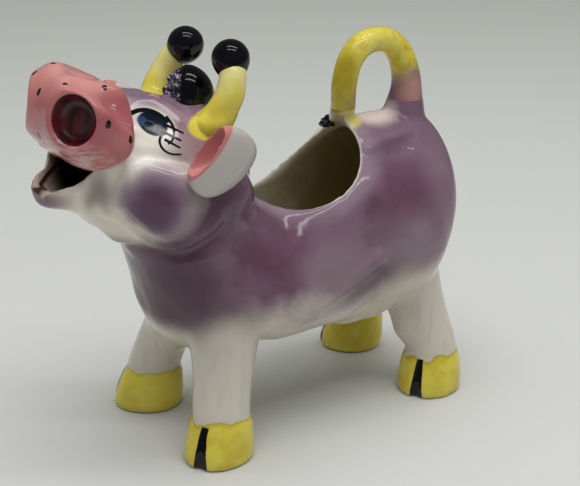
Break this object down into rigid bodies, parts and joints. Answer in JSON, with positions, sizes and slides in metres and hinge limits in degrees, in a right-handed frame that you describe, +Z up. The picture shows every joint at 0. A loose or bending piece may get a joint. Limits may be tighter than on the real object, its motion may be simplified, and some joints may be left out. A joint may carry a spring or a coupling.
{
  "type": "cow creamer",
  "caption": "Small pottery cream jug shaped as a lowing cow: filled through an oval hole in the back, poured from the open mouth, held by the looped tail.",
  "frame": {"origin": "on the ground, in the middle of the jug's length and width", "axes": "+Z up, -Y the way the cow faces and pours, +X the cow's left side"},
  "size_m": [0.0716, 0.1454, 0.1275],
  "materials": {
    "body_glaze": "clear gloss glaze over airbrushed purple on white pottery",
    "head_glaze": "clear gloss glaze over white pottery with airbrushed purple",
    "lip_glaze": "clear gloss glaze over white pottery",
    "muzzle_glaze": "gloss pink glaze with painted dots",
    "yellow_glaze": "gloss yellow glaze, brushed on",
    "black_enamel": "cold painted gloss black",
    "ear_glaze": "clear gloss glaze over white pottery, pink inside",
    "leg_glaze": "clear gloss glaze over white pottery",
    "hoof_glaze": "gloss yellow glaze with a painted black cleft"
  },
  "bodies": {
    "root": {"body_shell": "body_glaze", "head_shell": "head_glaze", "pouring_lip": "lip_glaze", "muzzle": "muzzle_glaze", "left_horn": "yellow_glaze", "right_horn": "yellow_glaze", "left_horn_knob": "black_enamel", "right_horn_knob": "black_enamel", "left_ear": "ear_glaze", "right_ear": "ear_glaze", "forelock": "black_enamel", "tail_handle": "yellow_glaze", "tail_tuft": "black_enamel", "front_left_leg": "leg_glaze", "front_right_leg": "leg_glaze", "rear_left_leg": "leg_glaze", "rear_right_leg": "leg_glaze", "front_left_hoof": "hoof_glaze", "front_right_hoof": "hoof_glaze", "rear_left_hoof": "hoof_glaze", "rear_right_hoof": "hoof_glaze"}
  },
  "joints": []
}
